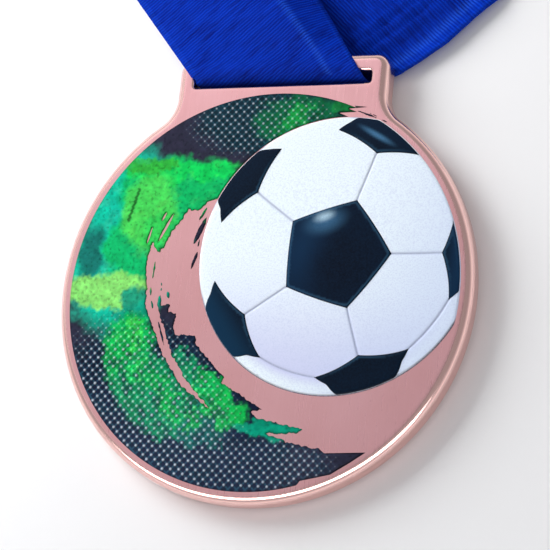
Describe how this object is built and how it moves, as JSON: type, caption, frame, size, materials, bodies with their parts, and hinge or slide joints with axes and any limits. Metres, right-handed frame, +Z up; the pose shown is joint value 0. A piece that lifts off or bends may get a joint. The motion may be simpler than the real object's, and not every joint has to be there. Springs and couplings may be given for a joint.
{
  "type": "sports finisher medal",
  "caption": "Round rose-copper medal with a slotted neck, a raised printed football on turf, and a blue woven neck ribbon run through the slot and folded away behind it.",
  "frame": {"origin": "centre of the disc on the medal's flat back face", "axes": "+Z up out of the printed face, +Y from the disc to the neck, +X to the right as the face is read"},
  "size_m": [0.0846, 0.1065, 0.0054],
  "materials": {
    "copper_plate": "rose-copper plate, finely brushed, polished edge",
    "turf_ink": "cured printing ink, raised dots, satin",
    "white_ink": "cured printing ink, fine grain, satin",
    "black_ink": "cured printing ink, glossy",
    "ribbon_cloth": "royal blue grosgrain weave, soft sheen",
    "thread": "twisted polyester sewing thread",
    "elastic": "natural flat elastic band, matt"
  },
  "bodies": {
    "medal": {"medal_blank": "copper_plate", "ink_field": "turf_ink", "ball_ground": "white_ink", "ball_patch_middle": "black_ink", "ball_patch_right": "black_ink", "ball_patch_upper_right": "black_ink", "ball_patch_upper_left": "black_ink", "ball_patch_lower_left": "black_ink", "ball_patch_bottom": "black_ink"},
    "ribbon": {"ribbon_slot_loop": "ribbon_cloth", "ribbon_front_strap": "ribbon_cloth", "ribbon_back_strap": "ribbon_cloth", "ribbon_bundle": "ribbon_cloth", "ribbon_lap": "ribbon_cloth", "lap_stitching": "thread", "tie_band": "elastic"}
  },
  "joints": [
    {"name": "ribbon_swing", "type": "hinge", "parent": "medal", "child": "ribbon", "pos_m": [0, 0.03272, 0.0023], "axis": [1, 0, 0], "range_deg": [0, 90], "deforming": ["ribbon_slot_loop"]}
  ]
}
